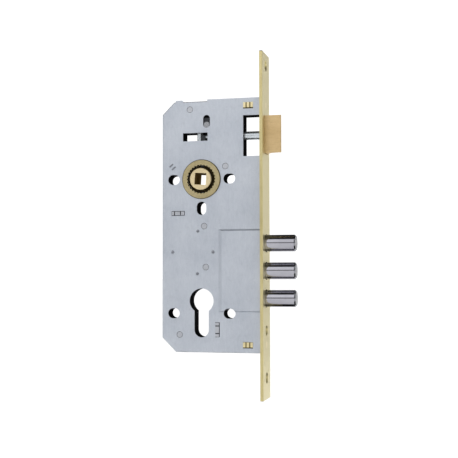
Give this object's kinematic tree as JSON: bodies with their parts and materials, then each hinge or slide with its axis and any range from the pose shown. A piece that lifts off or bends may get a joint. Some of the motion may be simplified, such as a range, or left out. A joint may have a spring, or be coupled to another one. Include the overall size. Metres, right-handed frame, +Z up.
{
  "type": "mortise lock",
  "caption": "Mortise lock: folded steel case on a brass forend, square-holed follower, bevelled latch and round bolts, with a hole for a profile cylinder.",
  "frame": {"origin": "on the follower's axis, midway between the two side plates", "axes": "+X out of the forend, +Z up along the forend, -Y the side of the folded case box"},
  "size_m": [0.0946, 0.024, 0.24],
  "materials": {
    "case_zinc": "zinc plated, satin",
    "forend_brass": "satin brass plated",
    "bearing_brass": "satin",
    "hub_brass": "matt, yellow zinc passivated",
    "latch_brass": "satin",
    "bolt_chrome": "polished",
    "bracket_brass": "bare, staked ends",
    "pillar_steel": "zinc plated, staked ends",
    "latch_steel": "bright zinc plated",
    "inner_steel": "zinc plated",
    "spring_steel": "bright drawn wire"
  },
  "bodies": {
    "lock_case": {"case_box": "case_zinc", "case_cover": "case_zinc", "forend": "forend_brass", "upper_bracket": "bracket_brass", "lower_bracket": "bracket_brass", "front_ring": "bearing_brass", "rear_ring": "bearing_brass", "top_pillar": "pillar_steel", "side_pillar": "pillar_steel", "guide_pillar": "pillar_steel", "track_pillar": "pillar_steel", "foot_pillar": "pillar_steel", "spring_seat": "pillar_steel", "cylinder_stop": "pillar_steel", "latch_guide": "inner_steel", "follower_spring": "spring_steel", "latch_spring": "spring_steel", "tumbler_spring": "spring_steel", "lift_spring": "spring_steel"},
    "follower": {"follower_hub": "hub_brass", "follower_arm": "inner_steel"},
    "plunger": {"follower_plunger": "inner_steel"},
    "latch": {"latch_head": "latch_brass", "latch_tail": "latch_steel", "latch_cross_pin": "latch_steel", "latch_tee": "latch_steel"},
    "bolts": {"bolt_carriage": "inner_steel", "upper_bolt": "bolt_chrome", "middle_bolt": "bolt_chrome", "lower_bolt": "bolt_chrome", "bolt_rivets": "inner_steel"},
    "tumbler_plate": {"tumbler": "inner_steel", "tumbler_stump": "inner_steel"},
    "lift": {"lift_slide": "inner_steel", "lift_guide_pin": "latch_steel"}
  },
  "joints": [
    {"name": "follower_turn", "type": "hinge", "parent": "lock_case", "child": "follower", "pos_m": [0, 0, 0], "axis": [0, -1, 0], "range_deg": [0, 22.6], "stiffness_Nm_per_rad": 0.9, "springref_deg": -20.05},
    {"name": "latch_slide", "type": "slide", "parent": "lock_case", "child": "latch", "axis": [-1, 0, 0], "range_m": [0, 0.01158], "deforming": ["latch_spring"]},
    {"name": "plunger_slide", "type": "slide", "parent": "lock_case", "child": "plunger", "axis": [0, 0, -1], "range_m": [0, 0.00469], "deforming": ["follower_spring"]},
    {"name": "bolt_throw", "type": "slide", "parent": "lock_case", "child": "bolts", "axis": [1, 0, 0], "range_m": [-0.021, 0]},
    {"name": "tumbler_lift", "type": "slide", "parent": "lock_case", "child": "tumbler_plate", "axis": [0, 0, 1], "range_m": [0, 0.0035], "stiffness_N_per_m": 300, "springref_m": -0.004, "deforming": ["tumbler_spring"]},
    {"name": "latch_lift", "type": "slide", "parent": "lock_case", "child": "lift", "axis": [0, 0, 1], "range_m": [0, 0.0046], "stiffness_N_per_m": 300, "springref_m": -0.004, "deforming": ["lift_spring"]}
  ],
  "couplings": [
    {"joint": "latch_slide", "follows": "follower_turn", "m_per_rad": 0.02935},
    {"joint": "plunger_slide", "follows": "follower_turn", "m_per_rad": 0.01188}
  ]
}
